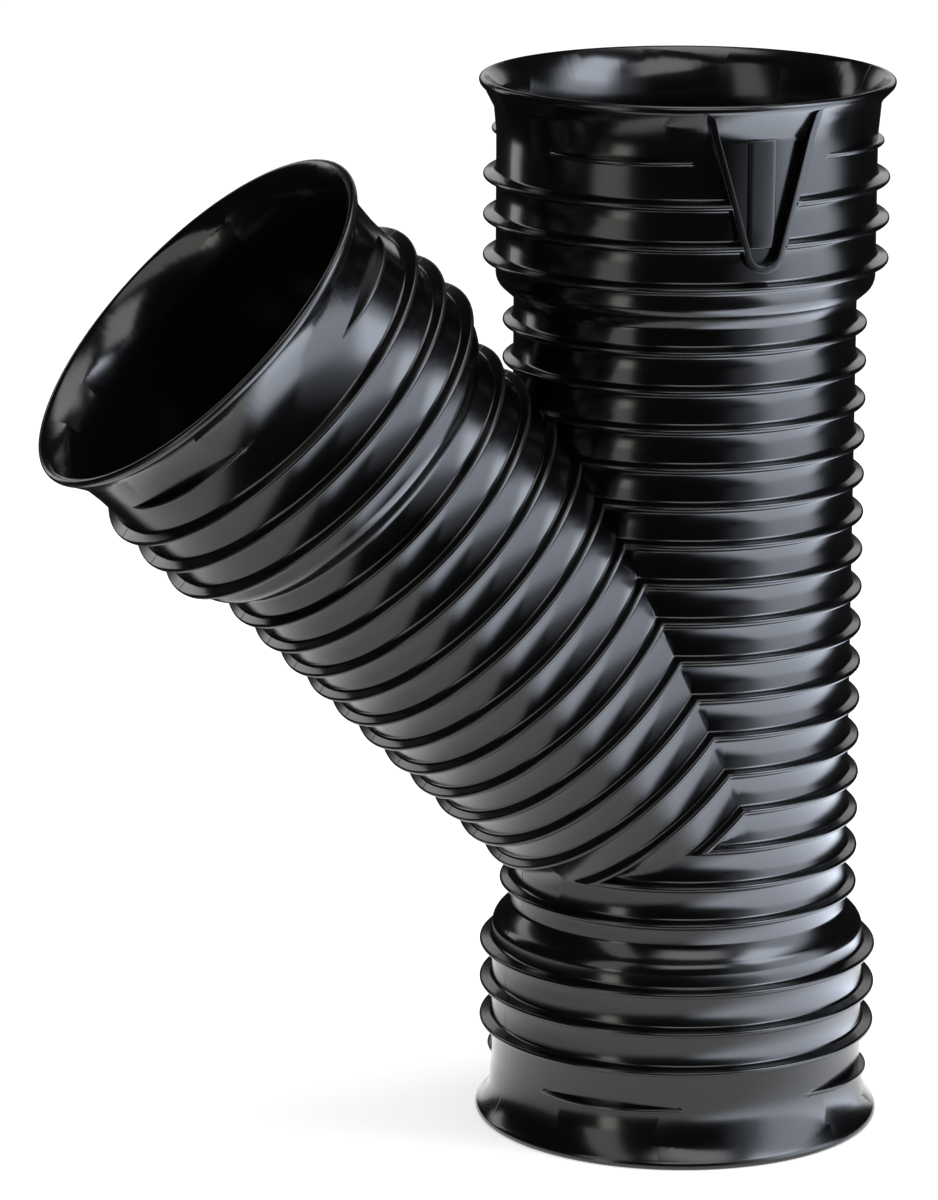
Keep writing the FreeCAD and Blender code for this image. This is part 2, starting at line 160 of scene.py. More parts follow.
# %% Draw a line and round some of its corners
def draw_line(name, points):
    """A line of vertices in the XZ plane, from points that are (distance from Z, height)."""
    deselect_all()
    bpy.ops.mesh.primitive_plane_add(size=MM)
    line = bpy.context.object
    line.name = name
    bpy.ops.object.mode_set(mode="EDIT")
    bpy.ops.mesh.select_all(action="SELECT")
    bpy.ops.mesh.merge(type="CENTER")
    bpy.ops.transform.translate(value=(points[0][0], 0, points[0][1]))
    for here, there in zip(points, points[1:]):
        step = (there[0] - here[0], 0, there[1] - here[1])
        bpy.ops.mesh.extrude_vertices_move(TRANSFORM_OT_translate={"value": step})
    bpy.ops.object.mode_set(mode="OBJECT")
    return line


def round_corners(line, is_corner, size, segments=3):
    """Rounds the corners of a line that the test is_corner(distance, height) picks."""
    make_active(line)
    for vertex in line.data.vertices:
        vertex.select = is_corner(vertex.co.x, vertex.co.z)
    for edge in line.data.edges:
        edge.select = False
    bpy.ops.object.mode_set(mode="EDIT")
    bpy.ops.mesh.select_mode(type="VERT")
    bpy.ops.mesh.bevel(offset=size, offset_type="OFFSET", segments=segments, affect="VERTICES")
    bpy.ops.object.mode_set(mode="OBJECT")


def near(value, wanted, reach=0.2 * MM):
    return abs(value - wanted) < reach


# %% Spin a line into a closed solid
def clean_up(piece):
    """Closes seams and poles, and points the faces outwards."""
    make_active(piece)
    bpy.ops.object.mode_set(mode="EDIT")
    bpy.ops.mesh.select_mode(type="VERT")
    bpy.ops.mesh.select_all(action="SELECT")
    bpy.ops.mesh.remove_doubles(threshold=WELD)
    bpy.ops.mesh.select_all(action="SELECT")
    bpy.ops.mesh.normals_make_consistent(inside=False)
    bpy.ops.object.mode_set(mode="OBJECT")


def spin_round(line):
    make_active(line)
    bpy.ops.object.mode_set(mode="EDIT")
    bpy.ops.mesh.select_all(action="SELECT")
    bpy.ops.mesh.spin(steps=STEPS, angle=2 * math.pi, center=(0, 0, 0), axis=(0, 0, 1))
    bpy.ops.object.mode_set(mode="OBJECT")
    clean_up(line)
    return line


# %% Copy, place and combine
def copy_of(piece, name):
    twin = piece.copy()
    twin.data = piece.data.copy()
    twin.name = name
    bpy.context.scene.collection.objects.link(twin)
    return twin


def combine(piece, other, operation):
    """Adds, cuts or intersects with another solid, which is used up."""
    make_active(piece)
    change = piece.modifiers.new("combine", "BOOLEAN")
    change.operation = operation
    change.object = other
    change.solver = "EXACT"
    bpy.ops.object.modifier_apply(modifier=change.name)
    bpy.data.objects.remove(other)
    return piece


def pick_faces(piece, is_wanted):
    """Enters edit mode with only those faces selected that the test is_wanted(face) picks."""
    make_active(piece)
    bpy.ops.object.mode_set(mode="EDIT")
    bpy.ops.mesh.select_mode(type="FACE")
    bpy.ops.mesh.select_all(action="DESELECT")
    bpy.ops.object.mode_set(mode="OBJECT")
    for polygon in piece.data.polygons:
        polygon.select = is_wanted(polygon)
    bpy.ops.object.mode_set(mode="EDIT")


def report(piece):
    print(piece.name, len(piece.data.vertices), "vertices,", len(piece.data.polygons), "faces")


# %% [markdown]
# ## Socket, outside
#
# A socket is what a pipe's plain end is pushed into. Outside it has a thin lip, a steep flare, three full
# ring ribs and a shoulder down to the narrower leg. The lip, the rib tips and the shoulder's edge are
# rounded, because a mould has no knife edges there, and a fillet fills the corner at each rib's foot. Two
# plain rings beside the place of the arc ribs keep the shading of their tapered ends short.

# %% Rib corners
def rib_points(wall, height, middle):
    """The four corners of one ring rib, in the order in which the line runs."""
    tip = wall + height
    return [
        (wall, middle - RIB_FOOT / 2),
        (tip, middle - RIB_TIP / 2),
        (tip, middle + RIB_TIP / 2),
        (wall, middle + RIB_FOOT / 2),
    ]


# %% Socket outline
LIP_ROUNDING = 1.75 * MM
LIP_BACK_ROUNDING = 1.2 * MM
RING_BESIDE_ARC = 2.0 * MM
SHOULDER_ROUNDING = 3.0 * MM
socket_line = [(0, 0), (RIM_RADIUS, 0), (RIM_RADIUS, RIM_THICKNESS)]
socket_line += [(SOCKET_WALL + STEEP_RISE, STEEP_DEPTH)]
rise_left = STEEP_RISE * RING_BESIDE_ARC / (ARC_RIB_DEPTH - STEEP_DEPTH)
socket_line += [(SOCKET_WALL + rise_left, ARC_RIB_DEPTH - RING_BESIDE_ARC), (SOCKET_WALL, ARC_RIB_DEPTH)]
socket_line += [(SOCKET_WALL, ARC_RIB_DEPTH + RING_BESIDE_ARC)]
for depth in SOCKET_RIB_DEPTHS:
    socket_line += rib_points(SOCKET_WALL, SOCKET_RIB_HEIGHT, depth)
socket_line += [(SOCKET_WALL, OUTER_DEPTH), (LEG_WALL, OUTER_DEPTH + SHOULDER_LENGTH)]
socket_line += [(LEG_WALL, SEAM_DEPTH), (0, SEAM_DEPTH)]

socket_form = draw_line("socket_form", socket_line)
round_corners(socket_form, lambda r, z: near(r, RIM_RADIUS) and near(z, 0), LIP_ROUNDING, 4)
round_corners(socket_form, lambda r, z: near(r, RIM_RADIUS) and near(z, RIM_THICKNESS), LIP_BACK_ROUNDING)
round_corners(socket_form, lambda r, z: near(r, SOCKET_WALL + SOCKET_RIB_HEIGHT), RIB_ROUNDING)
round_corners(
    socket_form,
    lambda r, z: near(r, SOCKET_WALL) and ARC_RIB_DEPTH + WALL < z < OUTER_DEPTH - WALL,
    RIB_FILLET,
    2,
)
round_corners(socket_form, lambda r, z: near(r, SOCKET_WALL) and near(z, OUTER_DEPTH), SHOULDER_ROUNDING, 4)
spin_round(socket_form)
report(socket_form)

# %% [markdown]
# ## Flares and arc ribs
#
# In each of the four quarters the flare is longer and gentler. Seen along the axis it is a cone whose
# middle is set off toward that quarter, so it fades into the wall on both sides. The fourth rib is
# interrupted: on each diagonal a thin disc, set off the same way, stands out of the wall as a short rib
# whose ends taper.

# %% Long flare cones
LONG_SLOPE = (LONG_FLARE_RADIUS - SOCKET_WALL) / (LONG_FLARE_DEPTH - RIM_THICKNESS)
LONG_REACH = LONG_FLARE_DEPTH + WALL
OUTER_AT_RIM = SOCKET_WALL + LONG_SLOPE * LONG_FLARE_DEPTH
INNER_AT_RIM = OUTER_AT_RIM - LONG_FLARE_WALL


def flare_cone(name, reach_at_rim, start, quarter):
    """A cone beside the leg's axis, toward one quarter, that narrows inward."""
    deselect_all()
    widest = reach_at_rim - LONG_FLARE_OFFSET - LONG_SLOPE * start
    narrowest = reach_at_rim - LONG_FLARE_OFFSET - LONG_SLOPE * LONG_REACH
    turn = quarter * math.pi / 2
    off_axis = (LONG_FLARE_OFFSET * math.cos(turn), LONG_FLARE_OFFSET * math.sin(turn))
    middle = (*off_axis, (start + LONG_REACH) / 2)
    bpy.ops.mesh.primitive_cone_add(
        vertices=STEPS, radius1=widest, radius2=narrowest, depth=LONG_REACH - start, location=middle
    )
    bpy.ops.object.transform_apply(location=True, rotation=False, scale=False)
    cone = bpy.context.object
    cone.name = name
    return cone


for quarter in range(4):
    combine(socket_form, flare_cone("flare", OUTER_AT_RIM, RIM_THICKNESS, quarter), "UNION")
report(socket_form)

# %% Arc ribs on the diagonals
disc_radius = SOCKET_WALL + ARC_RIB_HEIGHT - ARC_RIB_OFFSET
disc_line = [
    (0, ARC_RIB_DEPTH - RIB_TIP / 2),
    (disc_radius, ARC_RIB_DEPTH - RIB_TIP / 2),
    (disc_radius, ARC_RIB_DEPTH + RIB_TIP / 2),
    (0, ARC_RIB_DEPTH + RIB_TIP / 2),
]
arc_disc = draw_line("arc_disc", disc_line)
round_corners(arc_disc, lambda r, z: near(r, disc_radius), RIB_ROUNDING)
spin_round(arc_disc)
for quarter in range(4):
    disc = copy_of(arc_disc, "arc_rib")
    turn = (quarter + 0.5) * math.pi / 2
    disc.data.transform(
        Matrix.Translation((ARC_RIB_OFFSET * math.cos(turn), ARC_RIB_OFFSET * math.sin(turn), 0))
    )
    combine(socket_form, disc, "UNION")
bpy.data.objects.remove(arc_disc)
clean_up(socket_form)
report(socket_form)

# %% [markdown]
# ## Socket, inside
#
# The bore takes a 160 mm pipe. Its lead-in follows the flare outside: steep on the diagonals, gentle in
# the quarters. At its bottom an inner shoulder stops the pipe. The bore is modelled as a solid of its own
# and then cut out. Its line starts outside the lip and meets it at a slant, which rounds the lip's
# inner edge too.

# %% Bore outline
STEEP_BORE = SOCKET_BORE + STEEP_RISE
STEEP_BORE_DEPTH = MOUTH_RADIUS - STEEP_BORE
LIP_FLAT_RADIUS = RIM_RADIUS - LIP_ROUNDING - 0.15 * MM
LIP_SLANT = 0.42
OUTSIDE = 6.0 * MM
lip_corner_depth = LIP_SLANT * (LIP_FLAT_RADIUS - MOUTH_RADIUS) / (1 - LIP_SLANT)
bore_line = [(0, -OUTSIDE * LIP_SLANT), (LIP_FLAT_RADIUS + OUTSIDE, -OUTSIDE * LIP_SLANT)]
bore_line += [(MOUTH_RADIUS - lip_corner_depth, lip_corner_depth), (STEEP_BORE, STEEP_BORE_DEPTH)]
bore_line += [(SOCKET_BORE, ARC_RIB_DEPTH), (SOCKET_BORE, SOCKET_DEPTH)]
bore_line += [(LEG_BORE, SOCKET_DEPTH + SHOULDER_LENGTH)]
bore_line += [(LEG_BORE, SEAM_DEPTH + WALL), (0, SEAM_DEPTH + WALL)]
socket_bore = draw_line("socket_bore", bore_line)
round_corners(socket_bore, lambda r, z: near(z, lip_corner_depth, 0.05 * MM), 1.0 * MM)
round_corners(socket_bore, lambda r, z: near(r, SOCKET_BORE) and near(z, SOCKET_DEPTH), 2.0 * MM)
spin_round(socket_bore)
LEAD_IN_START = -2.0 * MM
for quarter in range(4):
    combine(socket_bore, flare_cone("lead_in", INNER_AT_RIM, LEAD_IN_START, quarter), "UNION")
clean_up(socket_bore)
report(socket_bore)

# %% [markdown]
# ## Raised V on the upper socket
#
# A V-shaped rib frames a bare strip on the side that faces the viewer. The ring ribs end at the V's legs,
# and inside it the wall is plain. The outline is drawn once: one point is spun through the round tip, and
# the two ends are extruded up to the lip. The face in it becomes the block that clears the ring ribs,
# and the same face, inset, becomes the V itself. Its legs follow the flare outward, right up to the lip. The
# V stands a little over one degree off the middle of its side, so all of its pieces are turned together.

# %% V outline as one flat face
VEE_INSIDE = 60.0 * MM
VEE_OUTSIDE = 100.0 * MM
tip_middle = VEE_DEPTH - VEE_TIP_RADIUS
span = math.hypot(VEE_HALF_WIDTH, tip_middle - VEE_TOP)
lean = math.atan2(VEE_HALF_WIDTH, tip_middle - VEE_TOP) - math.asin(VEE_TIP_RADIUS / span)
TIP_STEPS = 12


def vee_face(name, margin):
    """The V's outline, narrower by a margin all round: a flat face that looks toward -Y."""
    radius = VEE_TIP_RADIUS - margin
    half_width = VEE_HALF_WIDTH - margin / math.cos(lean)
    start = (radius * math.cos(lean), tip_middle + radius * math.sin(lean))
    face = draw_line(name, [(half_width, VEE_TOP), start])
    make_active(face)
    for vertex in face.data.vertices:
        vertex.select = near(vertex.co.z, start[1])
    bpy.ops.object.mode_set(mode="EDIT")
    bpy.ops.mesh.select_mode(type="VERT")
    bpy.ops.mesh.spin(
        steps=TIP_STEPS, angle=math.pi - 2 * lean, center=(0, 0, tip_middle), axis=(0, 1, 0)
    )
    step = (start[0] - half_width, 0, VEE_TOP - start[1])
    bpy.ops.mesh.extrude_vertices_move(TRANSFORM_OT_translate={"value": step})
    bpy.ops.mesh.select_all(action="SELECT")
    bpy.ops.mesh.remove_doubles(threshold=WELD)
    bpy.ops.mesh.select_all(action="SELECT")
    bpy.ops.mesh.edge_face_add()
    bpy.ops.transform.translate(value=(0, -VEE_INSIDE, 0))
    bpy.ops.object.mode_set(mode="OBJECT")
    return face


def extrude_outward(piece):
    """Gives a flat face its thickness, toward -Y."""
    make_active(piece)
    bpy.ops.object.mode_set(mode="EDIT")
    bpy.ops.mesh.select_all(action="SELECT")
    step = (0, VEE_INSIDE - VEE_OUTSIDE, 0)
    bpy.ops.mesh.extrude_region_move(TRANSFORM_OT_translate={"value": step})
    bpy.ops.object.mode_set(mode="OBJECT")
    clean_up(piece)
    return piece


vee_block = extrude_outward(vee_face("vee_block", VEE_BLOCK_MARGIN))
vee_rib = vee_face("vee_rib", 0)
pick_faces(vee_rib, lambda face: True)
bpy.ops.mesh.inset(thickness=VEE_RIB_WIDTH)
bpy.ops.mesh.delete(type="FACE")
bpy.ops.object.mode_set(mode="OBJECT")
pick_faces(vee_rib, lambda face: face.center.z < VEE_TOP + VEE_RIB_WIDTH)
bpy.ops.mesh.delete(type="FACE")
bpy.ops.object.mode_set(mode="OBJECT")
extrude_outward(vee_rib)
report(vee_block)
report(vee_rib)

# %% Limits for the V
def round_bar(name, radius, top, bottom):
    """A plain round bar about the leg's axis, used to limit other solids."""
    return spin_round(draw_line(name, [(0, top), (radius, top), (radius, bottom), (0, bottom)]))


ABOVE = -20.0 * MM
HAIR = 0.03 * MM
combine(vee_block, round_bar("wall_kept", SOCKET_WALL - HAIR, ABOVE, VEE_DEPTH + WALL), "DIFFERENCE")
combine(vee_block, round_bar("flare_kept", RIM_RADIUS + WALL, ABOVE, LONG_FLARE_DEPTH), "DIFFERENCE")
vee_reach = SOCKET_WALL + VEE_RIB_HEIGHT
lip_reach = RIM_RADIUS - VEE_BELOW_LIP
limit_line = [(0, ABOVE), (lip_reach, ABOVE), (lip_reach, RIM_THICKNESS), (vee_reach, VEE_FLARE_END)]
limit_line += [(vee_reach, VEE_DEPTH + WALL), (0, VEE_DEPTH + WALL)]
combine(vee_rib, spin_round(draw_line("vee_limit", limit_line)), "INTERSECT")


def soften_edges(piece, size, segments=3):
    """Rounds all the sharp edges of a small piece."""
    make_active(piece)
    bevel = piece.modifiers.new("soften", "BEVEL")
    bevel.width = size
    bevel.segments = segments
    bevel.limit_method = "ANGLE"
    bevel.angle_limit = math.radians(50)
    bpy.ops.object.modifier_apply(modifier=bevel.name)


soften_edges(vee_rib, VEE_ROUNDING, 4)

# %% Bare strip
deselect_all()
bpy.ops.mesh.primitive_cube_add(size=1)
strip = bpy.context.object
strip.name = "strip"
strip.scale = (STRIP_WIDTH, VEE_OUTSIDE - VEE_INSIDE, STRIP_BOTTOM - STRIP_TOP)
strip.location = (0, -(VEE_OUTSIDE + VEE_INSIDE) / 2, (STRIP_BOTTOM + STRIP_TOP) / 2)
bpy.ops.object.transform_apply(location=True, rotation=False, scale=True)
combine(strip, round_bar("strip_limit", SOCKET_WALL + STRIP_HEIGHT, ABOVE, VEE_DEPTH + WALL), "INTERSECT")
soften_edges(strip, STRIP_ROUNDING)
for piece in (vee_block, vee_rib, strip):
    piece.data.transform(Matrix.Rotation(VEE_TURN, 4, "Z"))

# %% [markdown]
# ## The three sockets
#
# The foot, the head and the branch get a copy of the same socket. The head's copy gets the V and the strip
# before its bore is cut, so that the bore trims them as well. A copy is turned and moved in its mesh, so
# every object stays at the origin.

# %% Places of the three mouths
BRANCH_MOUTH = (
    -BRANCH_LENGTH * math.sin(BRANCH_ANGLE),
    0,
    BRANCH_HEIGHT + BRANCH_LENGTH * math.cos(BRANCH_ANGLE),
)
FOOT_PLACE = Matrix.Identity(4)
HEAD_PLACE = Matrix.Translation((0, 0, RUN_HEIGHT)) @ Matrix.Rotation(math.pi, 4, "Y")
BRANCH_PLACE = Matrix.Translation(BRANCH_MOUTH) @ Matrix.Rotation(math.pi - BRANCH_ANGLE, 4, "Y")


def open_seam(piece, depth):
    """Deletes the flat faces at a depth, where the next piece is joined on."""
    pick_faces(
        piece, lambda face: abs(abs(face.normal.z) - 1) < 0.001 and near(face.center.z, depth, 0.05 * MM)
    )
    bpy.ops.mesh.delete(type="ONLY_FACE")
    bpy.ops.mesh.select_mode(type="VERT")
    bpy.ops.mesh.select_all(action="SELECT")
    bpy.ops.mesh.delete_loose(use_verts=True, use_edges=True, use_faces=False)
    bpy.ops.object.mode_set(mode="OBJECT")


# %% Cut the bores and set the sockets down
head_socket = copy_of(socket_form, "head_socket")
combine(head_socket, vee_block, "DIFFERENCE")
combine(head_socket, vee_rib, "UNION")
combine(head_socket, strip, "UNION")
combine(head_socket, copy_of(socket_bore, "head_bore"), "DIFFERENCE")
combine(socket_form, socket_bore, "DIFFERENCE")
for piece in (head_socket, socket_form):
    clean_up(piece)
    open_seam(piece, SEAM_DEPTH)
    report(piece)
branch_socket = copy_of(socket_form, "branch_socket")
foot_socket = socket_form
for piece, seat in ((head_socket, HEAD_PLACE), (branch_socket, BRANCH_PLACE), (foot_socket, FOOT_PLACE)):
    piece.data.transform(seat)

# %% [markdown]
# ## Run and branch
#
# Between the sockets both legs are plain tubes with closely spaced ring ribs. They are mitred along the two
# planes that halve the angles between branch and run. Each tube is sliced by both planes, and its faces on
# the other tube's side are deleted. The tubes mirror each other in those planes, so their open ends match
# point by point and weld into one saddle, where each rib of the branch meets one of the run.

# %% Tubes of the two legs
def leg_tube(name, first_rib, ribs, end):
    """A ribbed leg from the seam at its socket, measured from a rim, with its bore; open at both ends."""
    line = [(LEG_BORE, end), (LEG_BORE, SEAM_DEPTH)]
    outside = [(LEG_WALL, SEAM_DEPTH)]
    for number in range(ribs):
        outside += rib_points(LEG_WALL, LEG_RIB_HEIGHT, first_rib + number * LEG_RIB_PITCH)
    outside += [(LEG_WALL, end)]
    leg = draw_line(name, outside)
    round_corners(leg, lambda r, z: near(r, LEG_WALL + LEG_RIB_HEIGHT), RIB_ROUNDING)
    round_corners(
        leg, lambda r, z: near(r, LEG_WALL) and SEAM_DEPTH + WALL < z < end - WALL, RIB_FILLET, 2
    )
    spin_round(leg)
    bore = spin_round(draw_line(f"{name}_bore", line))
    return leg, bore


OVERRUN = 100.0 * MM
run_walls = leg_tube("run_leg", FIRST_RUN_RIB, RUN_RIBS, RUN_HEIGHT - SEAM_DEPTH)
branch_walls = leg_tube("branch_leg", FIRST_BRANCH_RIB, BRANCH_RIBS, BRANCH_LENGTH + OVERRUN)
for wall in branch_walls:
    wall.data.transform(BRANCH_PLACE)
for wall in run_walls + branch_walls:
    report(wall)

# %% Slice both legs along the mitre
crossing = Vector((0, 0, BRANCH_HEIGHT))
upward = Vector((-math.sin(BRANCH_ANGLE / 2), 0, math.cos(BRANCH_ANGLE / 2)))
downward = Vector((-math.cos(BRANCH_ANGLE / 2), 0, -math.sin(BRANCH_ANGLE / 2)))


def mitre(wall, keep_branch_side):
    """Slices a wall along both mitre planes and keeps its faces on one side of the saddle."""
    for normal in (upward, downward):
        pick_faces(wall, lambda face: keep_branch_side or face.center.x < 0)
        bpy.ops.mesh.bisect(plane_co=crossing, plane_no=normal, threshold=WELD / 10)
        bpy.ops.object.mode_set(mode="OBJECT")

    def is_branch_side(face):
        reach = face.center - crossing
        return reach.dot(upward) > 0 and reach.dot(downward) > 0

    pick_faces(wall, lambda face: is_branch_side(face) != keep_branch_side)
    bpy.ops.mesh.delete(type="FACE")
    bpy.ops.object.mode_set(mode="OBJECT")


for wall in run_walls:
    mitre(wall, False)
for wall in branch_walls:
    mitre(wall, True)

# %% Join the moulding
deselect_all()
fitting = run_walls[0]
for piece in (foot_socket, head_socket, branch_socket, *run_walls, *branch_walls):
    piece.select_set(True)
bpy.context.view_layer.objects.active = fitting
bpy.ops.object.join()
fitting.name = "wye_moulding"
clean_up(fitting)
make_active(fitting)
bpy.ops.object.shade_smooth_by_angle(angle=math.radians(50))
report(fitting)
shared = Counter(key for polygon in fitting.data.polygons for key in polygon.edge_keys)
print("edges not shared by two faces:", sum(count != 2 for count in shared.values()))
print("triangles", sum(len(polygon.vertices) - 2 for polygon in fitting.data.polygons))
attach(fitting, "root")
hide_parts("wye_body")

# %% [markdown]
# ## Glossy black plastic
#
# The plastic is nearly black all through, and what shows its form is the gloss: broad sharp-edged bands
# where it mirrors the lamps, and near black elsewhere. A moulded wall is never quite true, so the bands wave
# a little; handling leaves the gloss uneven, and edges and rib tips are rubbed duller. Edges and rib tips are
# also painted greyer, which is a painted highlight. All of this is built from noise on Object coordinates, in
# metres, and goes into colour, roughness and bump.

# %% Node helpers
def new_material(name):
    material = bpy.data.materials.new(name)
    material.use_nodes = True
    return material, material.node_tree.nodes, material.node_tree.links


def add_noise(nodes, links, place, scale, detail=2.0, roughness=0.5):
    noise = nodes.new("ShaderNodeTexNoise")
    noise.inputs["Scale"].default_value = scale
    noise.inputs["Detail"].default_value = detail
    noise.inputs["Roughness"].default_value = roughness
    links.new(place, noise.inputs["Vector"])
    return noise.outputs["Fac"]


def map_range(nodes, links, value, from_low, from_high, to_low, to_high, smooth=False):
    ranged = nodes.new("ShaderNodeMapRange")
    ranged.interpolation_type = "SMOOTHSTEP" if smooth else "LINEAR"
    for socket, number in zip(ranged.inputs[1:5], (from_low, from_high, to_low, to_high)):
        socket.default_value = number
    links.new(value, ranged.inputs["Value"])
    return ranged.outputs["Result"]


def calculate(nodes, links, operation, first, second=None):
    """One Math node; each operand is a socket or a number."""
    math_node = nodes.new("ShaderNodeMath")
    math_node.operation = operation
    for slot, operand in enumerate((first, second)):
        if isinstance(operand, (int, float)):
            math_node.inputs[slot].default_value = operand
        elif operand is not None:
            links.new(operand, math_node.inputs[slot])
    return math_node.outputs["Value"]


# %% Places and patterns on the plastic
plastic, nodes, links = new_material("black_moulded_plastic")
shader = nodes["Principled BSDF"]
place = nodes.new("ShaderNodeTexCoord").outputs["Object"]
waves = add_noise(nodes, links, place, 14.0, 1.0)
peel = add_noise(nodes, links, place, 260.0, 2.0)
smudges = add_noise(nodes, links, place, 22.0, 5.0, 0.62)
grain = add_noise(nodes, links, place, 1400.0, 2.0)

# %% Rubbed edges: duller gloss from wear, and a painted highlight in their colour
pointiness = nodes.new("ShaderNodeNewGeometry").outputs["Pointiness"]
edge = map_range(nodes, links, pointiness, 0.52, 0.60, 0.0, 1.0, smooth=True)
edge_wear_and_highlight = calculate(nodes, links, "MULTIPLY", edge, map_range(nodes, links, smudges, 0.35, 0.65, 0.35, 1.0))

# %% Colour and gloss
colour = nodes.new("ShaderNodeMix")
colour.data_type = "RGBA"
colour.inputs["A"].default_value = (0.002, 0.002, 0.0022, 1)
# The greyer colour on edges and rib tips is a painted highlight; their duller gloss is wear.
colour.inputs["B"].default_value = (0.014, 0.014, 0.0145, 1)
links.new(edge_wear_and_highlight, colour.inputs["Factor"])
links.new(colour.outputs["Result"], shader.inputs["Base Color"])
even_gloss = map_range(nodes, links, smudges, 0.30, 0.72, 0.13, 0.20)
speckles = map_range(nodes, links, grain, 0.3, 0.7, -0.01, 0.02)
speckled_gloss = calculate(nodes, links, "ADD", even_gloss, speckles)
rubbed_gloss = calculate(nodes, links, "MULTIPLY", edge_wear_and_highlight, 0.10)
links.new(calculate(nodes, links, "ADD", speckled_gloss, rubbed_gloss), shader.inputs["Roughness"])

# %% Waves, orange peel and the mould's parting line
place_parts = nodes.new("ShaderNodeSeparateXYZ")
links.new(place, place_parts.inputs["Vector"])
off_middle = calculate(nodes, links, "ABSOLUTE", place_parts.outputs["Y"])
parting = map_range(nodes, links, off_middle, 0.0, 0.0004, 1.0, 0.0, smooth=True)
height = calculate(nodes, links, "MULTIPLY", waves, 0.0006)
height = calculate(nodes, links, "ADD", height, calculate(nodes, links, "MULTIPLY", peel, 0.000006))
height = calculate(nodes, links, "ADD", height, calculate(nodes, links, "MULTIPLY", parting, 0.00008))
bump = nodes.new("ShaderNodeBump")
bump.inputs["Strength"].default_value = 1.0
bump.inputs["Distance"].default_value = 1.0
links.new(height, bump.inputs["Height"])
links.new(bump.outputs["Normal"], shader.inputs["Normal"])
fitting.data.materials.clear()
fitting.data.materials.append(plastic)
print("plastic nodes:", len(nodes))

# %% [markdown]
# ## Floor and white background
#
# The background is pure white. It comes from a pale floor and a white world whose glow only camera, glossy
# and transmission rays see, so it adds no light to the object, and the floor still takes its soft shadow.

# %% Rays that see the background
def seen_by_background_rays(nodes, links):
    """1 for rays from the camera, from gloss and through glass, and 0 for light that is scattered."""
    rays = nodes.new("ShaderNodeLightPath").outputs
    seen = calculate(nodes, links, "MAXIMUM", rays["Is Camera Ray"], rays["Is Glossy Ray"])
    return calculate(nodes, links, "MAXIMUM", seen, rays["Is Transmission Ray"])


# %% World
AMBIENT = 0.62
world = bpy.data.worlds.new("white_studio")
bpy.context.scene.world = world
world.use_nodes = True
nodes = world.node_tree.nodes
links = world.node_tree.links
seen = seen_by_background_rays(nodes, links)
nodes["Background"].inputs["Color"].default_value = (1, 1, 1, 1)
links.new(map_range(nodes, links, seen, 0, 1, AMBIENT, 1.0), nodes["Background"].inputs["Strength"])

# %% Floor
FLOOR_GLOW = 0.53
deselect_all()
bpy.ops.mesh.primitive_plane_add(size=30)
floor = bpy.context.object
floor.name = "studio_floor"
pale, nodes, links = new_material("pale_floor")
nodes["Principled BSDF"].inputs["Base Color"].default_value = (0.8, 0.8, 0.8, 1)
nodes["Principled BSDF"].inputs["Roughness"].default_value = 1.0
nodes["Principled BSDF"].inputs["Specular IOR Level"].default_value = 0.0
nodes["Principled BSDF"].inputs["Emission Color"].default_value = (1, 1, 1, 1)
glow = calculate(nodes, links, "MULTIPLY", seen_by_background_rays(nodes, links), FLOOR_GLOW)
links.new(glow, nodes["Principled BSDF"].inputs["Emission Strength"])
floor.data.materials.append(pale)

# %% [markdown]
# ## What the gloss mirrors
#
# A photographer lights such a part with what it mirrors: black cloth all round, and a few white cards and
# soft lamps set where their reflections draw the form. The cloth and the cards here are surfaces that only
# glossy rays see, so the cloth keeps the white background out of the gloss. A bearing is counted from the
# camera, to its right, about the run's axis.

# %% Cards
CAMERA_AZIMUTH = math.radians(-21.646)


def only_in_gloss(card):
    card.visible_camera = False
    card.visible_diffuse = False
    card.visible_transmission = False
    card.visible_volume_scatter = False
    card.visible_shadow = False


def card_material(name, glow, tint, soft_across, soft_up):
    """A glow that fades out over a share of the card's width and height toward its edges."""
    material, nodes, links = new_material(name)
    nodes.remove(nodes["Principled BSDF"])
    parts = nodes.new("ShaderNodeSeparateXYZ")
    links.new(nodes.new("ShaderNodeTexCoord").outputs["Object"], parts.inputs["Vector"])
    fades = []
    for axis, soft in (("X", soft_across), ("Y", soft_up)):
        reach = calculate(nodes, links, "ABSOLUTE", parts.outputs[axis])
        fades.append(map_range(nodes, links, reach, 0.5 - soft, 0.5, 1.0, 0.0, smooth=True))
    lamp = nodes.new("ShaderNodeEmission")
    lamp.inputs["Color"].default_value = (*tint, 1)
    lamp.inputs["Strength"].default_value = glow
    mixed = nodes.new("ShaderNodeMixShader")
    links.new(calculate(nodes, links, "MULTIPLY", *fades), mixed.inputs["Fac"])
    links.new(nodes.new("ShaderNodeBsdfTransparent").outputs["BSDF"], mixed.inputs[1])
    links.new(lamp.outputs["Emission"], mixed.inputs[2])
    links.new(mixed.outputs["Shader"], nodes["Material Output"].inputs["Surface"])
    return material


def spot(bearing, distance, height):
    turn = CAMERA_AZIMUTH + math.radians(bearing)
    return Vector((distance * math.sin(turn), -distance * math.cos(turn), height))


def card(name, middle, aim, width, height, glow, tint=(1, 1, 1), soft_across=0.1, soft_up=0.1):
    """A glowing card that faces a point, with its upper edge level."""
    deselect_all()
    turn = (aim - middle).to_track_quat("Z", "Y").to_euler()
    bpy.ops.mesh.primitive_plane_add(size=1, location=middle, rotation=turn)
    piece = bpy.context.object
    piece.name = name
    piece.scale = (width, height, 1)
    piece.data.materials.append(card_material(name, glow, tint, soft_across, soft_up))
    only_in_gloss(piece)
    return piece


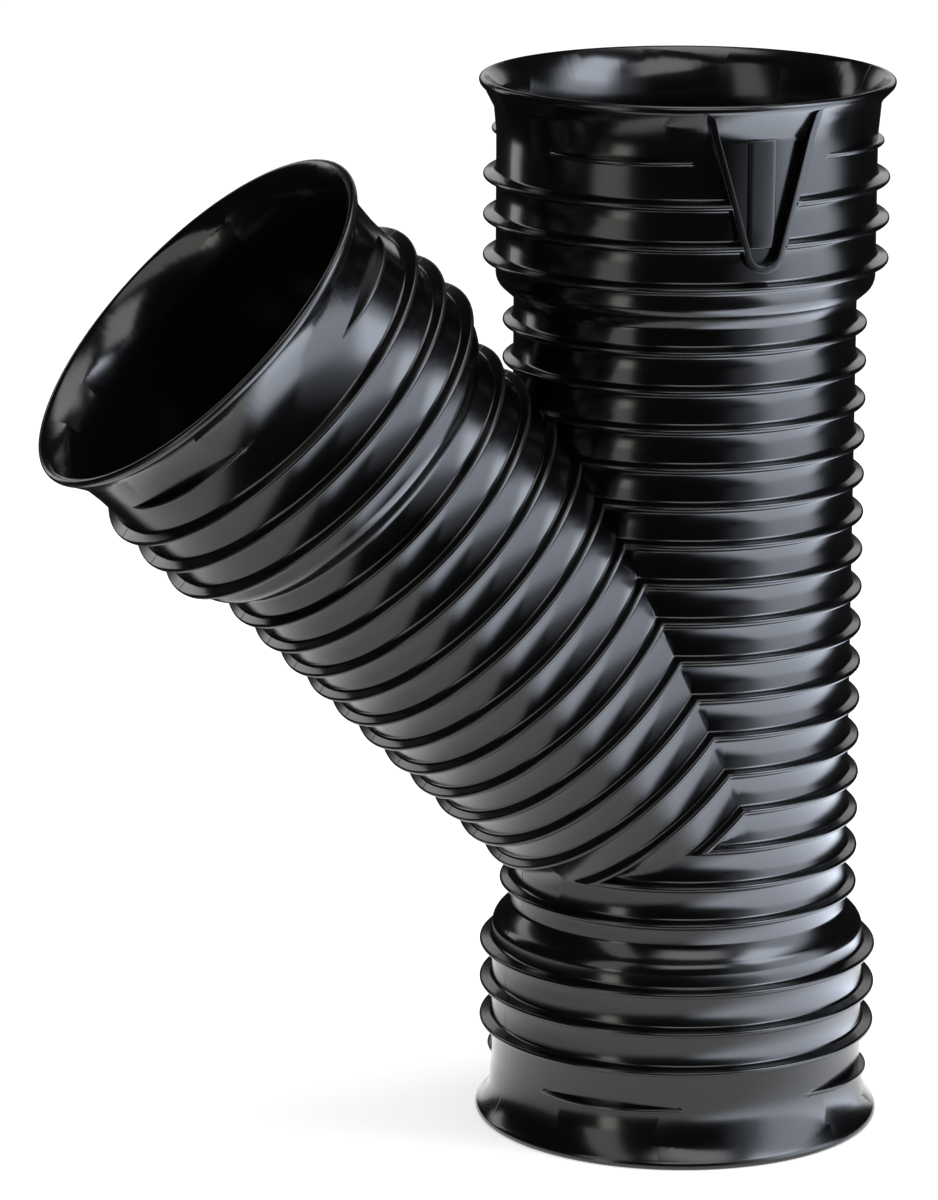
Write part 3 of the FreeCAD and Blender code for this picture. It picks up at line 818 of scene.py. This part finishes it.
# %% Black cloth
CLOTH_DISTANCE = 2.4
CLOTH_HEIGHT = 2.6
CLOTH_LEVEL = 0.012
deselect_all()
bpy.ops.mesh.primitive_cylinder_add(
    vertices=64, radius=CLOTH_DISTANCE, depth=CLOTH_HEIGHT, location=(0, 0, CLOTH_HEIGHT / 2)
)
cloth = bpy.context.object
cloth.name = "black_cloth"
pick_faces(cloth, lambda face: face.normal.z < -0.5)
bpy.ops.mesh.delete(type="FACE")
bpy.ops.object.mode_set(mode="OBJECT")
black, nodes, links = new_material("black_cloth")
nodes.remove(nodes["Principled BSDF"])
dark = nodes.new("ShaderNodeEmission")
dark.inputs["Strength"].default_value = CLOTH_LEVEL
links.new(dark.outputs["Emission"], nodes["Material Output"].inputs["Surface"])
cloth.data.materials.append(black)
only_in_gloss(cloth)

# %% Black cloth on the floor, round a white board
BOARD_MIDDLE = (-0.15, 0.0)
BOARD_REACH = (0.45, 0.33)
deselect_all()
bpy.ops.mesh.primitive_plane_add(size=2 * CLOTH_DISTANCE, location=(0, 0, 0.0004))
floor_cloth = bpy.context.object
floor_cloth.name = "floor_cloth"
material, nodes, links = new_material("floor_cloth")
nodes.remove(nodes["Principled BSDF"])
centring = nodes.new("ShaderNodeMapping")
centring.inputs["Location"].default_value = (
    -BOARD_MIDDLE[0] / BOARD_REACH[0], -BOARD_MIDDLE[1] / BOARD_REACH[1], 0
)
centring.inputs["Scale"].default_value = (1 / BOARD_REACH[0], 1 / BOARD_REACH[1], 1)
links.new(nodes.new("ShaderNodeTexCoord").outputs["Object"], centring.inputs["Vector"])
length = nodes.new("ShaderNodeVectorMath")
length.operation = "LENGTH"
links.new(centring.outputs["Vector"], length.inputs[0])
dark = nodes.new("ShaderNodeEmission")
dark.inputs["Strength"].default_value = CLOTH_LEVEL
mixed = nodes.new("ShaderNodeMixShader")
links.new(map_range(nodes, links, length.outputs["Value"], 0.85, 1.1, 0, 1, smooth=True), mixed.inputs["Fac"])
links.new(nodes.new("ShaderNodeBsdfTransparent").outputs["BSDF"], mixed.inputs[1])
links.new(dark.outputs["Emission"], mixed.inputs[2])
links.new(mixed.outputs["Shader"], nodes["Material Output"].inputs["Surface"])
floor_cloth.data.materials.append(material)
only_in_gloss(floor_cloth)

# %% Upright cards
aim = Vector((0, 0, 0.25))
COOL = (0.80, 0.87, 1.0)
WARM = (1.0, 1.0, 0.94)
WHITE = (1, 1, 1)


def standing_card(name, bearing, distance, bottom, top, width, glow, tint, soft_across, soft_up):
    """A card that stands upright and faces the run's axis."""
    middle = (bottom + top) / 2
    return card(
        name, spot(bearing, distance, middle), Vector((0, 0, middle)), width, top - bottom, glow, tint,
        soft_across, soft_up
    )


# %% Set the cards up
# A line gives name, bearing, distance, bottom, top, width, glow and tint, then the shares of width and
# height over which the card fades out.
cards = [
    standing_card("right_softbox", 73, 1.0, -0.05, 1.7, 1.18, 4.6, COOL, 0.35, 0.04),
    standing_card("upper_softbox", 68, 0.95, 0.65, 1.9, 0.8, 10.0, COOL, 0.3, 0.2),
    standing_card("right_scrim", 66, 1.1, -0.05, 1.3, 2.2, 1.5, COOL, 0.45, 0.05),
    standing_card("left_strip", -45.5, 0.8, 0.18, 1.3, 0.33, 1.6, WARM, 0.1, 0.02),
    standing_card("left_strip_foot", -40.5, 0.8, -0.02, 0.19, 0.17, 3.2, WARM, 0.15, 0.02),
    standing_card("back_left_strip", -124, 1.2, 0.17, 1.4, 0.30, 2.0, WHITE, 0.15, 0.03),
    standing_card("back_card", 180, 2.0, 0.6, 1.2, 3.0, 1.0, WHITE, 0.2, 0.1),
    card("front_softbox", spot(10, 1.6, 1.85), aim, 2.0, 1.1, 3.2, (0.95, 0.97, 1.0), 0.25, 0.15),
    card("top_softbox", Vector((0.15, 0.1, 1.9)), aim, 1.4, 1.4, 3.0, WHITE, 0.25, 0.25),
]

# %% Boards that lie on the floor
SPILL_BEARING = 72
SPILL_DISTANCE = 0.6
spill = card(
    "floor_spill",
    spot(SPILL_BEARING, SPILL_DISTANCE, 0.0012),
    spot(SPILL_BEARING, SPILL_DISTANCE, 1.0),
    1.0, 1.0, 6.5, COOL, 0.15, 0.2,
)
spill.rotation_euler = (0, 0, CAMERA_AZIMUTH + math.radians(SPILL_BEARING) - math.pi / 2)
board_place = spot(45, 0.08, 0.0008)
above_board = board_place + Vector((0, 0, 1))
foot_board = card("foot_board", board_place, above_board, 0.6, 0.6, 1.5, WHITE, 0.2, 0.2)

# %% [markdown]
# ## Lamps
#
# What the cards do to the gloss, plain lamps do for everything else: one broad lamp overhead and two at the
# sides, at a level where a colour renders about as it is written.

# %% Lamps
def soft_lamp(name, middle, size, watts):
    deselect_all()
    turn = (aim - middle).to_track_quat("-Z", "Y").to_euler()
    bpy.ops.object.light_add(type="AREA", location=middle, rotation=turn)
    lamp = bpy.context.object
    lamp.name = name
    lamp.data.shape = "DISK"
    lamp.data.size = size
    lamp.data.energy = watts
    lamp.visible_glossy = False
    return lamp


soft_lamp("overhead_lamp", Vector((0.3, -0.3, 2.2)), 1.4, 22)
soft_lamp("right_lamp", spot(70, 1.8, 0.9), 1.0, 10)
soft_lamp("left_lamp", spot(-70, 1.8, 0.9), 1.0, 5)

# %% Camera
FRAME_HEIGHT = 1200
FOCAL_PIXELS = 5827.4
SENSOR = 36.0
CAMERA_ELEVATION = math.radians(13.71)
CAMERA_ROLL = math.radians(0.224)
CAMERA_DISTANCE = 2.6160
AIM_RIGHT = -0.09512
AIM_UP = 0.00537
AIM_HEIGHT = 0.2323
right = Vector((math.cos(CAMERA_AZIMUTH), math.sin(CAMERA_AZIMUTH), 0))
back = Vector((
    math.sin(CAMERA_AZIMUTH) * math.cos(CAMERA_ELEVATION),
    -math.cos(CAMERA_AZIMUTH) * math.cos(CAMERA_ELEVATION),
    math.sin(CAMERA_ELEVATION),
))
up = back.cross(right)
place = Vector((0, 0, AIM_HEIGHT)) + right * AIM_RIGHT + up * AIM_UP + back * CAMERA_DISTANCE
rolled_right = right * math.cos(CAMERA_ROLL) + up * math.sin(CAMERA_ROLL)
rolled_up = up * math.cos(CAMERA_ROLL) - right * math.sin(CAMERA_ROLL)
camera_data = bpy.data.cameras.new("camera")
camera_data.lens = FOCAL_PIXELS * SENSOR / FRAME_HEIGHT
camera_data.sensor_width = SENSOR
camera = bpy.data.objects.new("camera", camera_data)
bpy.context.scene.collection.objects.link(camera)
camera.matrix_world = Matrix.Translation(place) @ Matrix((rolled_right, rolled_up, back)).transposed().to_4x4()
bpy.context.scene.camera = camera
bpy.context.scene.view_settings.view_transform = "Standard"
